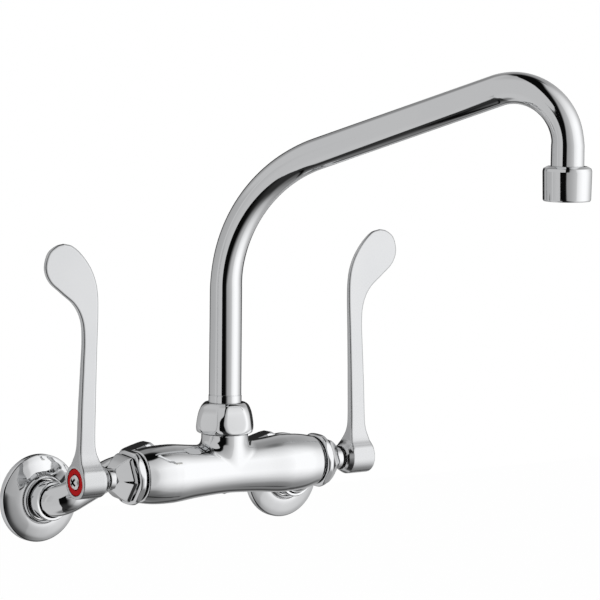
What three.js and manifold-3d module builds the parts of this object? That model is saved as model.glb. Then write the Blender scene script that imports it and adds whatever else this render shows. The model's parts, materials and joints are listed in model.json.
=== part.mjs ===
// Commercial wall faucet, in millimetres, +Z up, +Y into the wall, +X along the barrel.
// The origin is on the wall plane, midway between the two water inlets.
import * as THREE from 'three';
import { mergeVertices } from 'three/addons/utils/BufferGeometryUtils.js';
import Module from 'manifold-3d';

const wasm = await Module();
wasm.setup();

// ---- driving dimensions -------------------------------------------------------------------
const WALL_TO_BARREL = 65; // wall plane to the barrel's axis
const BARREL_RISE = 18.2; // inlets to the barrel's axis
const INLET_HALF_SPACING = 86.5; // half the distance between the two wall inlets
const NIPPLE_HALF_SPACING = 43; // half of the barrel's 3 3/8 in inlet spacing
const BARREL_HALF = 61.7;
const BARREL_END_R = 14.8;
const BARREL_WAIST_R = 14.2;
const BARREL_SHOULDER_R = 16.8;
const SPIGOT_R = 12.2;
const SPIGOT_END = 66;
const NECK_R = 13.5;
const NECK_TOP = 27;
const TUBE_R = 9.525; // 3/4 in tube
const TUBE_WALL = 1.2;
const SPOUT_REACH = 203.2; // 8 in
const SPOUT_SWING = THREE.MathUtils.degToRad(32); // turned from straight out towards +X
const SPOUT_SLOPE = THREE.MathUtils.degToRad(19.76);
const RISER_CORNER = 163.4; // where the riser's line meets the sloping run's line
const RISER_BEND_R = 84;
const OUTLET_BEND_R = 31;
const OUTLET_LOW = 161.6; // underside of the outlet sleeve, above the barrel's axis
const HUB_R = 9.8;
const HUB_FACE = 102.5; // outer face of the handle hub, from the spout's axis
const STEM_R = 3.8;
const ARM_R = 9.3;
const ARM_BORE_R = 5.6;
const ARM_BEND_R = 9.6;
const FLANGE_R = 25.5;
const SHANK_R = 10.4;
const SHANK_TAIL = 14; // how far the shank reaches into the wall
const NIPPLE_END = -42.6;
const SIDES = { hot: -1, cold: 1 };

// Sides of a round form: shown outlines, smaller or inner ones, and hidden or tiny ones.
const FINE = 28;
const MEDIUM = 22;
const COARSE = 16;
const TINY = 10;

// ---- solids ---------------------------------------------------------------------------------
// A closed triangle mesh as a solid, with its faces turned outwards.
function solid(geometry) {
  const bare = geometry.clone();
  bare.deleteAttribute('normal');
  bare.deleteAttribute('uv');
  const merged = mergeVertices(bare, 1e-4);
  const index = merged.index.array;
  const kept = [];
  for (let i = 0; i < index.length; i += 3) {
    const [a, b, c] = [index[i], index[i + 1], index[i + 2]];
    if (a !== b && b !== c && c !== a) kept.push(a, b, c);
  }
  const place = merged.attributes.position.array;
  if (signedVolume(place, kept) < 0) kept.reverse();
  return new wasm.Manifold(new wasm.Mesh({
    numProp: 3,
    vertProperties: new Float32Array(place),
    triVerts: new Uint32Array(kept),
  }));
}

function signedVolume(place, index) {
  const corner = [new THREE.Vector3(), new THREE.Vector3(), new THREE.Vector3()];
  let sum = 0;
  for (let i = 0; i < index.length; i += 3) {
    corner.forEach((v, k) => v.fromArray(place, index[i + k] * 3));
    sum += corner[0].dot(corner[1].clone().cross(corner[2]));
  }
  return sum / 6;
}

const joined = (...parts) => parts.reduce((sum, part) => sum.add(part));
const cut = (part, ...tools) => tools.reduce((left, tool) => left.subtract(tool), part);

function meshed(part) {
  const mesh = part.getMesh();
  const geometry = new THREE.BufferGeometry();
  geometry.setAttribute('position', new THREE.BufferAttribute(mesh.vertProperties.slice(), 3));
  geometry.setIndex(new THREE.BufferAttribute(mesh.triVerts.slice(), 1));
  geometry.computeVertexNormals();
  return geometry;
}

// A profile of [radius, height] points turned round the given axis, heights along that axis.
// Six sides make a hexagon whose first corner is at the angle `start`.
const AXES = {
  z: new THREE.Matrix4().makeRotationX(Math.PI / 2),
  x: new THREE.Matrix4().makeRotationZ(-Math.PI / 2),
  y: new THREE.Matrix4(),
};
function turned(profile, axis, sides = MEDIUM, start = 0) {
  const points = profile.map(([r, h]) => new THREE.Vector2(r, h));
  const geometry = new THREE.LatheGeometry(points, sides, start);
  return solid(geometry.applyMatrix4(AXES[axis]));
}

const rod = (radius, low, high, axis, sides = COARSE) =>
  turned([[0, low], [radius, low], [radius, high], [0, high]], axis, sides);
const tube = (outer, inner, low, high, axis, sides = COARSE) =>
  turned([[inner, low], [outer, low], [outer, high], [inner, high], [inner, low]], axis, sides);

function block(size, centre) {
  return solid(new THREE.BoxGeometry(...size).translate(...centre));
}

function torus(ringR, wireR, place, axis) {
  const turn = axis === 'x' ? [0, Math.PI / 2, 0] : [0, 0, 0];
  const geometry = new THREE.TorusGeometry(ringR, wireR, 6, COARSE);
  geometry.applyMatrix4(new THREE.Matrix4().makeRotationFromEuler(new THREE.Euler(...turn)));
  return solid(geometry.translate(...place));
}

// ---- bent tubes -----------------------------------------------------------------------------
// Stations along straight runs joined by round bends of the given radii.
function bentStations(corners, radii, stepAngle) {
  const stations = [corners[0].clone()];
  for (let i = 1; i < corners.length - 1; i += 1) {
    const into = corners[i].clone().sub(corners[i - 1]).normalize();
    const out = corners[i + 1].clone().sub(corners[i]).normalize();
    const turn = into.angleTo(out);
    const radius = radii[i - 1];
    const tangent = radius * Math.tan(turn / 2);
    const begin = corners[i].clone().addScaledVector(into, -tangent);
    const side = out.clone().addScaledVector(into, -out.dot(into)).normalize();
    const steps = Math.ceil(turn / stepAngle);
    for (let k = 0; k <= steps; k += 1) {
      const angle = (turn * k) / steps;
      stations.push(begin.clone()
        .addScaledVector(into, radius * Math.sin(angle))
        .addScaledVector(side, radius * (1 - Math.cos(angle))));
    }
  }
  stations.push(corners.at(-1).clone());
  return stations;
}

// A curve that an extrusion samples exactly at the stations.
class StationCurve extends THREE.Curve {
  constructor(stations) {
    super();
    this.stations = stations;
  }

  getPoint(t, target = new THREE.Vector3()) {
    const last = this.stations.length - 1;
    const at = THREE.MathUtils.clamp(t * last, 0, last);
    const low = Math.min(Math.floor(at), last - 1);
    return target.lerpVectors(this.stations[low], this.stations[low + 1], at - low);
  }

  getUtoTmapping(u) {
    return u;
  }
}

function pipe(corners, radii, outer, inner, sides, stepAngle) {
  const stations = bentStations(corners, radii, stepAngle);
  const ring = new THREE.Shape().absarc(0, 0, outer, 0, 2 * Math.PI, false);
  ring.holes.push(new THREE.Path().absarc(0, 0, inner, 0, 2 * Math.PI, true));
  return solid(new THREE.ExtrudeGeometry(ring, {
    extrudePath: new StationCurve(stations),
    steps: stations.length - 1,
    curveSegments: sides / 2,
  }));
}

// ---- materials ------------------------------------------------------------------------------
const finish = (color, roughness, metalness) => () =>
  new THREE.MeshStandardMaterial({ color, roughness, metalness });
const chrome = finish(0xdfe2e4, 0.06, 1);
const brass = finish(0xb5924c, 0.35, 1);
const stainless = finish(0xc9cccd, 0.22, 1);
const ceramic = finish(0xf0eee8, 0.3, 0);
const rubber = finish(0x1b1b1d, 0.75, 0);
const nylon = finish(0xe9e6dc, 0.5, 0);
const redPlastic = finish(0xb80a10, 0.35, 0);
const bluePlastic = finish(0x1547a8, 0.35, 0);

function piece(name, part, material) {
  const mesh = new THREE.Mesh(meshed(part), material());
  mesh.name = name;
  return mesh;
}

// ---- barrel ---------------------------------------------------------------------------------
const GALLERY_RISE = 10.9; // small water way above each inlet chamber
const CARTRIDGE_BORE_R = 9.7;
const CARTRIDGE_SEAT = 46;

function barrelProfile() {
  const half = new THREE.SplineCurve([
    new THREE.Vector2(BARREL_WAIST_R, 0),
    new THREE.Vector2(BARREL_WAIST_R + 0.9, 20),
    new THREE.Vector2(BARREL_SHOULDER_R - 0.15, 36),
    new THREE.Vector2(BARREL_SHOULDER_R, 44),
    new THREE.Vector2(BARREL_SHOULDER_R - 0.5, 53),
    new THREE.Vector2(BARREL_END_R, BARREL_HALF),
  ]).getPoints(6).map((p) => [Math.min(p.x, BARREL_SHOULDER_R), p.y]);
  const right = [...half, [SPIGOT_R, BARREL_HALF], [SPIGOT_R, SPIGOT_END], [0, SPIGOT_END]];
  const left = right.slice(1).reverse().map(([r, h]) => [r, -h]);
  return [...left, ...right];
}

function faucetBody() {
  const neck = turned([
    [0, 0], [18.5, 0], [18.3, 9], [16, 14], [14.3, 16.2], [NECK_R, 18.4], [NECK_R, 20.9],
    [12.8, 20.9], [12.8, NECK_TOP], [0, NECK_TOP],
  ], 'z', MEDIUM);
  const flareLimit = rod(BARREL_WAIST_R + 0.4, -18.5, 18.5, 'x', MEDIUM);
  const flareTop = block([40, 40, 20], [0, 0, 22]);
  const neckKept = neck.intersect(joined(flareLimit, flareTop));
  let body = joined(turned(barrelProfile(), 'x', MEDIUM), neckKept);
  for (const side of Object.values(SIDES)) {
    const nipple = rod(10.1, 4, NIPPLE_END + WALL_TO_BARREL, 'y');
    body = body.add(nipple.translate([side * NIPPLE_HALF_SPACING, 0, 0]));
  }
  const tools = [
    rod(10, -27, 27, 'x'), // mixing chamber
    rod(11.25, 8, NECK_TOP + 1, 'z', MEDIUM), // socket of the spout tube
  ];
  for (const side of Object.values(SIDES)) {
    const along = (a, b) => [side * a, side * b].sort((p, q) => p - q);
    tools.push(
      rod(CARTRIDGE_BORE_R, ...along(CARTRIDGE_SEAT, SPIGOT_END + 1), 'x'),
      rod(7, ...along(33, CARTRIDGE_SEAT + 1), 'x'),
      rod(2.5, ...along(25, 58), 'x', TINY).translate([0, 0, GALLERY_RISE]),
      rod(5.5, 0, 30, 'y', TINY).translate([side * NIPPLE_HALF_SPACING, 0, 0]),
    );
  }
  return cut(body, ...tools);
}

// ---- valves: everything here lies along +X, measured from the spout's axis ------------------
const HEX = 6;
const BONNET_START = BARREL_HALF + 0.3;

function bonnet(cornerAngle) {
  const collarHex = turned([
    [0, BONNET_START], [17.3, BONNET_START], [17.3, 68.3], [0, 68.3],
  ], 'x', HEX, cornerAngle);
  const collarRound = turned([
    [0, BONNET_START], [14.9, BONNET_START], [16, 63.8], [16, 66.6], [15.1, 68.3], [0, 68.3],
  ], 'x', MEDIUM);
  const dome = turned([
    [0, 68], [14.8, 68], [14.8, 68.5], [13.5, 71.3], [11, 75.2], [7.7, 78.6], [0, 78.6],
  ], 'x', HEX, cornerAngle);
  const ring = rod(6.3, 78, 81.8, 'x');
  const outside = joined(collarHex.intersect(collarRound), dome, ring);
  return cut(outside, rod(12.6, 61, 67.6, 'x', MEDIUM), rod(5.5, 60, 83, 'x'));
}

function cartridgeHousing() {
  const outside = joined(
    rod(9.4, 48.2, 66.5, 'x'),
    rod(11.8, 66.3, 67.3, 'x'),
    rod(5.1, 67.2, 79.5, 'x'),
  );
  const windows = [-1, 1].map((up) => block([3, 6, 6], [55, 0, up * 8.5]));
  return cut(
    outside,
    rod(7.3, 48, 57.5, 'x'),
    rod(5.8, 57, 63.6, 'x'),
    rod(4.2, 63, 80, 'x'),
    ...windows,
  );
}

function cartridgeStem() {
  const body = joined(
    block([1, 2, 8], [52.9, 0, 0]),
    rod(5.5, 53.4, 56.6, 'x'),
    rod(STEM_R, 56, 97, 'x'),
  );
  return cut(body, rod(2.15, 88, 98, 'x', TINY));
}

// Ceramic disc with a half-moon water port.
function ceramicDisc(low, high) {
  const disc = rod(7, low, high, 'x');
  const port = rod(5.2, low - 1, high + 1, 'x')
    .intersect(block([high - low + 4, 12, 6], [(low + high) / 2, 0, -4]));
  return cut(disc, port);
}

function movingDisc() {
  return cut(ceramicDisc(50.9, 53.1), block([1.2, 2.7, 8.7], [53, 0, 0]));
}

function indexRing() {
  return tube(7.5, 4.6, 101.45, 102.35, 'x', MEDIUM);
}

function handleScrew() {
  const head = turned([[0, 101.4], [4.2, 101.4], [4.2, 102.6], [3.5, 103.4], [2, 103.85], [0, 104]],
    'x', COARSE);
  const whole = joined(head, rod(1.9, 89.6, 101.6, 'x', TINY));
  return cut(whole, block([3, 1, 4.4], [104, 0, 0]), block([3, 4.4, 1], [104, 0, 0]));
}

// The handle's outline seen from the front (x, z), and its half thickness seen from the end.
const BLADE_OUTER = [
  [101.9, 11], [100.9, 17], [100.4, 24], [99.8, 42], [98.7, 64], [98, 80], [99.2, 91],
  [104, 99.8], [112.5, 106.8], [120.2, 113.4], [123.6, 121], [121.4, 129.4], [116, 133.4],
  [110.8, 134.5],
];
const BLADE_INNER = [
  [110.8, 134.5], [104.6, 132.9], [98.2, 127.6], [92.6, 120.2], [89.2, 112.4], [87.8, 104],
  [87.7, 93], [88.3, 80], [89, 60], [89.5, 42], [89.9, 24], [89.6, 16], [88.4, 9.5],
];
const BLADE_HALF_THICKNESS = [
  [8.3, 5.2], [7, 7.6], [5.4, 10], [3.9, 13.2], [2.8, 17], [2.3, 24], [1.95, 55], [1.5, 95],
  [1.25, 125], [1.2, 136],
];

const curve = (points) => new THREE.SplineCurve(points.map(([a, b]) => new THREE.Vector2(a, b)));

function handle() {
  const front = new THREE.Shape([
    new THREE.Vector2(88.4, 0),
    new THREE.Vector2(HUB_FACE - 0.4, 0),
    ...curve(BLADE_OUTER).getPoints(16),
    ...curve(BLADE_INNER).getPoints(14).slice(1),
  ]);
  const side = curve(BLADE_HALF_THICKNESS).getPoints(8);
  const profile = new THREE.Shape([
    new THREE.Vector2(HUB_R, 0),
    ...side,
    ...side.slice().reverse().map((p) => new THREE.Vector2(-p.x, p.y)),
    new THREE.Vector2(-HUB_R, 0),
  ]);
  const frontBlock = new THREE.ExtrudeGeometry(front, { depth: 24, bevelEnabled: false })
    .translate(0, 0, -12).rotateX(Math.PI / 2);
  const sideBlock = new THREE.ExtrudeGeometry(profile, { depth: 60, bevelEnabled: false })
    .rotateX(Math.PI / 2).rotateZ(Math.PI / 2).translate(75, 0, 0);
  const lever = solid(frontBlock).intersect(solid(sideBlock));
  const hub = turned([
    [0, 83.2], [5.7, 83.2], [8.9, 86.8], [HUB_R, 88.6], [HUB_R, 102], [9.4, HUB_FACE],
    [0, HUB_FACE],
  ], 'x', MEDIUM);
  return cut(
    joined(hub, lever),
    rod(4.15, 82, 97.3, 'x'),
    rod(2.4, 97, 101.5, 'x', TINY),
    rod(7.8, 101.2, 104, 'x', MEDIUM),
  );
}

function valveGroup(name, side) {
  const group = new THREE.Group();
  const indexPlastic = side < 0 ? redPlastic : bluePlastic;
  const cornerAngle = THREE.MathUtils.degToRad(side < 0 ? 35 : 25);
  group.position.set(0, -WALL_TO_BARREL, BARREL_RISE);
  group.rotation.z = side < 0 ? Math.PI : 0;
  group.add(
    piece(`${name}_bonnet`, bonnet(cornerAngle), chrome),
    piece(`${name}_cartridge_housing`, cartridgeHousing(), brass),
    piece(`${name}_cartridge_stem`, cartridgeStem(), brass),
    piece(`${name}_fixed_disc`, ceramicDisc(48.4, 50.6), ceramic),
    piece(`${name}_moving_disc`, movingDisc(), ceramic),
    piece(`${name}_seat_seal`, tube(8.9, 5.6, 46.3, 47.9, 'x'), rubber),
    piece(`${name}_stem_o_ring`, torus(4.8, 0.7, [61.5, 0, 0], 'x'), rubber),
    piece(`${name}_handle`, handle(), chrome),
    piece(`${name}_index_ring`, indexRing(), indexPlastic),
    piece(`${name}_handle_screw`, handleScrew(), stainless),
  );
  return group;
}

// ---- spout: in its own group the reach is along -Y ------------------------------------------
function spoutTube() {
  const corner = RISER_CORNER + SPOUT_REACH * Math.tan(SPOUT_SLOPE);
  const corners = [
    new THREE.Vector3(0, 0, 13.5),
    new THREE.Vector3(0, 0, RISER_CORNER),
    new THREE.Vector3(0, -SPOUT_REACH, corner),
    new THREE.Vector3(0, -SPOUT_REACH, OUTLET_LOW + 11.8),
  ];
  const radii = [RISER_BEND_R, OUTLET_BEND_R];
  return pipe(corners, radii, TUBE_R, TUBE_R - TUBE_WALL, 16, THREE.MathUtils.degToRad(12));
}

function aeratorHousing() {
  const low = OUTLET_LOW;
  return turned([
    [11.7, low + 12], [11.7, low], [12.7, low], [13.3, low + 0.7], [13.7, low + 17],
    [13.2, low + 18.2], [10.9, low + 19.4], [9.9, low + 19.4], [9.9, low + 12], [11.7, low + 12],
  ], 'z', MEDIUM);
}

function aeratorInsert() {
  const low = OUTLET_LOW + 1.2;
  const body = rod(11.3, low, low + 8, 'z');
  const jets = [rod(1.5, low - 1, low + 9, 'z', 6)];
  const jetCount = 6;
  for (let i = 0; i < jetCount; i += 1) {
    const angle = (2 * Math.PI * i) / jetCount;
    const jet = rod(1.5, low - 1, low + 9, 'z', 6);
    jets.push(jet.translate([6 * Math.cos(angle), 6 * Math.sin(angle), 0]));
  }
  return cut(body, rod(9.6, low - 1, low + 1.6, 'z'), ...jets);
}

function spoutNut() {
  const hexagon = turned([
    [0, 21.2], [18.3, 21.2], [18.3, 28], [17.9, 33], [16.9, 36.4], [14.9, 38.5], [0, 38.5],
  ], 'z', HEX, THREE.MathUtils.degToRad(19));
  const limit = turned([
    [0, 21.2], [15.8, 21.2], [17.3, 24], [17.2, 31.5], [16.2, 35.8], [14.6, 38], [12.8, 38.5],
    [0, 38.5],
  ], 'z', MEDIUM);
  return cut(
    hexagon.intersect(limit),
    rod(13.3, 20, 30.9, 'z', MEDIUM),
    rod(10.1, 30, 40, 'z', MEDIUM),
  );
}

function spoutGroups() {
  const fixed = new THREE.Group();
  fixed.position.set(0, -WALL_TO_BARREL, BARREL_RISE);
  fixed.add(
    piece('faucet_body', faucetBody(), chrome),
    piece('spout_nut', spoutNut(), chrome),
    piece('spout_thrust_washer', tube(12.3, 10.1, NECK_TOP + 0.3, NECK_TOP + 1.3, 'z'), nylon),
  );
  const spout = new THREE.Group();
  spout.position.set(0, -WALL_TO_BARREL, BARREL_RISE);
  spout.rotation.z = SPOUT_SWING;
  const gasket = tube(11.2, 8.4, OUTLET_LOW + 9.6, OUTLET_LOW + 11.4, 'z');
  const outlet = new THREE.Group();
  outlet.position.set(0, -SPOUT_REACH, 0);
  outlet.add(
    piece('aerator_housing', aeratorHousing(), chrome),
    piece('aerator_insert', aeratorInsert(), nylon),
    piece('aerator_gasket', gasket, rubber),
  );
  spout.add(
    outlet,
    piece('spout_tube', spoutTube(), chrome),
    piece('spout_retaining_ring', tube(12.4, 9.85, NECK_TOP + 1.6, NECK_TOP + 3.6, 'z'), brass),
    piece('spout_upper_o_ring', torus(10.34, 0.62, [0, 0, 23], 'z'), rubber),
    piece('spout_lower_o_ring', torus(10.34, 0.62, [0, 0, 17], 'z'), rubber),
  );
  return [fixed, spout];
}

// ---- supply arms, unions and wall flanges ---------------------------------------------------
const ARM_WALL_CORNER = -25; // centre of the bend in front of the wall flange
const ARM_BODY_CORNER = -27.5; // centre of the bend behind the barrel
const NUT_FRONT = -47.9;
const NUT_REAR = -37.2;

function supplyArm(side) {
  const inlet = side * INLET_HALF_SPACING;
  const nipple = side * NIPPLE_HALF_SPACING;
  const sweep = pipe([
    new THREE.Vector3(inlet, -8.3, 0),
    new THREE.Vector3(inlet, ARM_WALL_CORNER, 0),
    new THREE.Vector3(nipple, ARM_BODY_CORNER, BARREL_RISE),
    new THREE.Vector3(nipple, NUT_REAR + 0.3, BARREL_RISE),
  ], [ARM_BEND_R, ARM_BEND_R], ARM_R, ARM_BORE_R, 14, THREE.MathUtils.degToRad(23));
  const tail = joined(
    tube(7.8, ARM_BORE_R, -40.7, NUT_REAR + 0.6, 'y'),
    tube(9.7, ARM_BORE_R, -40.7, -39.3, 'y'),
  );
  return sweep.add(tail.translate([nipple, 0, BARREL_RISE]));
}

function unionNut() {
  const hexagon = turned([
    [0, NUT_FRONT], [16.5, NUT_FRONT], [16.5, NUT_REAR], [0, NUT_REAR],
  ], 'y', HEX, THREE.MathUtils.degToRad(15));
  const limit = turned([
    [0, NUT_FRONT], [14.4, NUT_FRONT], [16, -46.6], [16, -38.5], [14.4, NUT_REAR], [0, NUT_REAR],
  ], 'y', MEDIUM);
  return cut(
    hexagon.intersect(limit),
    rod(10.5, NUT_FRONT - 1, -38.9, 'y'),
    rod(8.2, -40, NUT_REAR + 1, 'y'),
  );
}

function wallFlange() {
  return turned([
    [FLANGE_R, 0], [FLANGE_R, -3.2], [24.7, -4], [19.5, -6.3], [14.1, -8.5], [13.7, -9.6],
    [12.7, -10], [11.8, -9.6], [11.8, -7.6], [13.4, -7.3], [19, -5.1], [23.6, -3], [23.6, 0],
    [FLANGE_R, 0],
  ], 'y', FINE);
}

function inletShank() {
  return cut(
    rod(SHANK_R, -16.2, SHANK_TAIL, 'y', MEDIUM),
    rod(6.6, -17, SHANK_TAIL + 1, 'y'),
    rod(9.7, -17, -8, 'y'),
  );
}

function supplyGroup(name, side) {
  const group = new THREE.Group();
  const atInlet = new THREE.Group();
  atInlet.position.set(side * INLET_HALF_SPACING, 0, 0);
  atInlet.add(
    piece(`${name}_wall_flange`, wallFlange(), chrome),
    piece(`${name}_inlet_shank`, inletShank(), chrome),
  );
  const atNipple = new THREE.Group();
  atNipple.position.set(side * NIPPLE_HALF_SPACING, 0, BARREL_RISE);
  atNipple.add(
    piece(`${name}_union_nut`, unionNut(), chrome),
    piece(`${name}_union_washer`, tube(9.6, 6, -42.3, -41, 'y'), rubber),
  );
  group.add(piece(`${name}_supply_arm`, supplyArm(side), chrome), atInlet, atNipple);
  return group;
}

// ---- the faucet -----------------------------------------------------------------------------
const faucet = new THREE.Group();
faucet.add(...spoutGroups());
for (const [name, side] of Object.entries(SIDES)) {
  faucet.add(valveGroup(name, side), supplyGroup(name, side));
}

export default faucet;
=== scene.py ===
"""Looks of the wall faucet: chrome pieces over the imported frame, in a white studio."""
import json
import math

import bmesh
import bpy
import numpy as np
from mathutils import Matrix, Vector


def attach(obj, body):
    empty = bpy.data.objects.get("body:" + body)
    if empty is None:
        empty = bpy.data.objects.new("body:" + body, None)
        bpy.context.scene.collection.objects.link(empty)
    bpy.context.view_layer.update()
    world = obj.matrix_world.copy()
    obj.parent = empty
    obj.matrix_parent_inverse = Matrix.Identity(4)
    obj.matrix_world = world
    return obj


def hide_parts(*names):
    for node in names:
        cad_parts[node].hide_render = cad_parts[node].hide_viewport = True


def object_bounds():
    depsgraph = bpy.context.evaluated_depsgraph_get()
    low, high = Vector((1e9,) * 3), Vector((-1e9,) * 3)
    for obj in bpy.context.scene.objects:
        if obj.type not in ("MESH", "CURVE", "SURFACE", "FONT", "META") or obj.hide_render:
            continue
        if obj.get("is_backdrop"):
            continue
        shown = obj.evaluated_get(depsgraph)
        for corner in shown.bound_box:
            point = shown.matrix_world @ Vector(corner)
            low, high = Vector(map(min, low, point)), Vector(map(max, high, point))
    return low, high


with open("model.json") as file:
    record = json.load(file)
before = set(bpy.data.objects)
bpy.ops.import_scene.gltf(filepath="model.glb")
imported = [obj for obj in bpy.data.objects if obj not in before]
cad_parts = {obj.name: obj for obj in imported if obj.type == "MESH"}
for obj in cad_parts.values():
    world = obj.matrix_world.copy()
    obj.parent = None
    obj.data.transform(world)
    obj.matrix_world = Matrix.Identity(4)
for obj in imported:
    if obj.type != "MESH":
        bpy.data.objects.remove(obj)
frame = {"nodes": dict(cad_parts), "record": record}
CAD_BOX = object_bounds()

# ---- driving sizes, in millimetres ----
MM = 0.001
BARREL_AXIS = np.array([0.0, -65.0, 18.2])  # the middle of the barrel's axis
INLET_HALF_SPACING = 86.5
NIPPLE_HALF_SPACING = 43.0
BARREL_HALF = 61.7  # to the end of the casting, where its threaded ends begin
TUBE_R = 9.5
TUBE_WALL = 1.2
SPOUT_REACH = 203.2
SPOUT_SWING = math.radians(32)  # towards the cold side
SPOUT_SLOPE = math.radians(19.76)
RISER_CORNER = 163.4  # the riser's line meets the slope's here, above the barrel's axis
RISER_BEND_R = 84.0
OUTLET_BEND_R = 31.0
OUTLET_LOW = 161.6  # the outlet's face above the barrel's axis
HUB_R = 9.8
HUB_FACE = 102.5
SCREW_CROWN = 103.98
SIDES = {"hot": -1, "cold": 1}
ROUND = 112  # sides of a shown round form
FINE = 144  # sides where flats are cut on a round, or the rim is wide


# ---- outlines and fields ----
def smooth_through(points, steps):
    """Points along a Catmull-Rom curve through the given points."""
    p = np.array(points, float)
    p = np.vstack([2 * p[0] - p[1], p, 2 * p[-1] - p[-2]])
    made = []
    for i in range(1, len(p) - 2):
        for t in np.linspace(0, 1, steps, endpoint=False):
            made.append(0.5 * (
                2 * p[i] + (p[i + 1] - p[i - 1]) * t
                + (2 * p[i - 1] - 5 * p[i] + 4 * p[i + 1] - p[i + 2]) * t ** 2
                + (3 * p[i] - p[i - 1] - 3 * p[i + 1] + p[i + 2]) * t ** 3
            ))
    return np.array(made + [p[-2]])


def eased(points, radius, steps=5, closed=True):
    """An outline whose corners are rounded to about that radius, less where a side is short."""
    p = [np.array(q, float) for q in points]
    made = []
    for i, corner in enumerate(p):
        if not closed and i in (0, len(p) - 1):
            made.append(corner)
            continue
        back, ahead = p[i - 1] - corner, p[(i + 1) % len(p)] - corner
        back_length, ahead_length = np.linalg.norm(back), np.linalg.norm(ahead)
        back, ahead = back / back_length, ahead / ahead_length
        half = math.acos(float(np.clip(back @ ahead, -1, 1))) / 2
        if half > math.radians(86):
            made.append(corner)
            continue
        reach = min(radius / math.tan(half), 0.45 * back_length, 0.45 * ahead_length)
        start, end = corner + back * reach, corner + ahead * reach
        for t in np.linspace(0, 1, steps + 1):
            made.append((1 - t) ** 2 * start + 2 * t * (1 - t) * corner + t ** 2 * end)
    return made


def soft_min(a, b, width):
    """The lesser of two values, with a fillet of about that width where they cross."""
    share = np.clip(0.5 + 0.5 * (b - a) / width, 0, 1)
    return b * (1 - share) + a * share - width * share * (1 - share)


def soft_max(a, b, width):
    return -soft_min(-a, -b, width)


def outline_distance(a, b, corners):
    """Signed distance from points (a, b) to a closed outline, negative inside."""
    best = np.full(a.shape, np.inf)
    inside = np.zeros(a.shape, bool)
    for (a0, b0), (a1, b1) in zip(corners, np.roll(corners, -1, axis=0)):
        along_a, along_b = a1 - a0, b1 - b0
        length = along_a ** 2 + along_b ** 2
        if length < 1e-12:
            continue
        t = np.clip(((a - a0) * along_a + (b - b0) * along_b) / length, 0, 1)
        best = np.minimum(best, (a - a0 - t * along_a) ** 2 + (b - b0 - t * along_b) ** 2)
        if along_b:
            crossed = (b0 > b) != (b1 > b)
            inside ^= crossed & (a < a0 + (b - b0) / along_b * along_a)
    return np.where(inside, -1, 1) * np.sqrt(best)


def turned_distance(height, radius, profile):
    """Distance to a turned form whose half profile is [height, radius] points."""
    half = np.array(profile, float)
    mirrored = half[::-1] * [1, -1]
    return outline_distance(height, radius, np.vstack([half, mirrored]))


def rod_distance(height, radius, size, low, high):
    """Distance to a round rod of that size between two heights."""
    return np.maximum(radius - size, np.maximum(low - height, height - high))


# ---- meshes ----
SAME_PLACE = 2e-6  # in metres
SHARP_EDGE = math.radians(32)


def new_object(name, data):
    made = bpy.data.objects.new(name, data)
    bpy.context.scene.collection.objects.link(made)
    return made


def new_mesh(name, points, faces, edges=()):
    mesh = bpy.data.meshes.new(name)
    mesh.from_pydata(points, edges, faces)
    return mesh


def skin(name, rows, closed=False):
    """An object whose surface joins rows of points, each row a ring; the last joins the first."""
    rows = np.asarray(rows, float) * MM
    count, sides = rows.shape[:2]
    faces = []
    for i in range(count if closed else count - 1):
        j = (i + 1) % count
        for k in range(sides):
            m = (k + 1) % sides
            faces.append((i * sides + k, i * sides + m, j * sides + m, j * sides + k))
    mesh = new_mesh(name, rows.reshape(-1, 3).tolist(), faces)
    tidy(mesh)
    return new_object(name, mesh)


def tidy(mesh):
    """Merges doubles, turns the faces outwards, shades smooth and keeps real edges sharp."""
    work = bmesh.new()
    work.from_mesh(mesh)
    bmesh.ops.remove_doubles(work, verts=work.verts, dist=SAME_PLACE)
    bmesh.ops.holes_fill(work, edges=[e for e in work.edges if e.is_boundary])
    bmesh.ops.recalc_face_normals(work, faces=work.faces)
    work.to_mesh(mesh)
    work.free()
    mesh.shade_smooth()
    mesh.set_sharp_from_angle(angle=SHARP_EDGE)


def angles(sides):
    """Even angles once round."""
    return np.linspace(0, 2 * np.pi, sides, endpoint=False)


def ring_rows(profile, axis, sides=ROUND):
    """Rows for (radius, height) pairs turned round an axis. A radius may vary with the angle."""
    angle = angles(sides)
    rows = []
    for radius, height in profile:
        a, b = radius * np.cos(angle), radius * np.sin(angle)
        h = np.full(sides, float(height))
        rows.append(np.stack({"z": (a, b, h), "x": (h, a, b), "y": (a, h, b)}[axis], -1))
    return np.array(rows)


def hexagon(apothem, corner, limit, edge=0.35, sides=FINE):
    """Radius of a hexagon at each angle, its corners turned down; corner is the angle of one."""
    from_side = (angles(sides) - corner) % (np.pi / 3) - np.pi / 6
    return soft_min(apothem / np.cos(from_side), limit, edge)


def bent_path(corners, radii, step):
    """Stations along straight runs joined by round bends."""
    corners = [np.array(c, float) for c in corners]
    stations = [corners[0]]
    for before, corner, after, radius in zip(corners, corners[1:], corners[2:], radii):
        into = (corner - before) / np.linalg.norm(corner - before)
        out = (after - corner) / np.linalg.norm(after - corner)
        turn = math.acos(float(into @ out))
        begin = corner - into * radius * math.tan(turn / 2)
        side = out - into * (into @ out)
        side /= np.linalg.norm(side)
        for angle in np.linspace(0, turn, math.ceil(turn / step) + 1):
            stations.append(begin + into * radius * math.sin(angle)
                            + side * radius * (1 - math.cos(angle)))
    return np.array(stations + [corners[-1]])


def directions(path):
    """The path's unit direction at each station."""
    tangents = np.gradient(path, axis=0)
    return tangents / np.linalg.norm(tangents, axis=1)[:, None]


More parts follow.
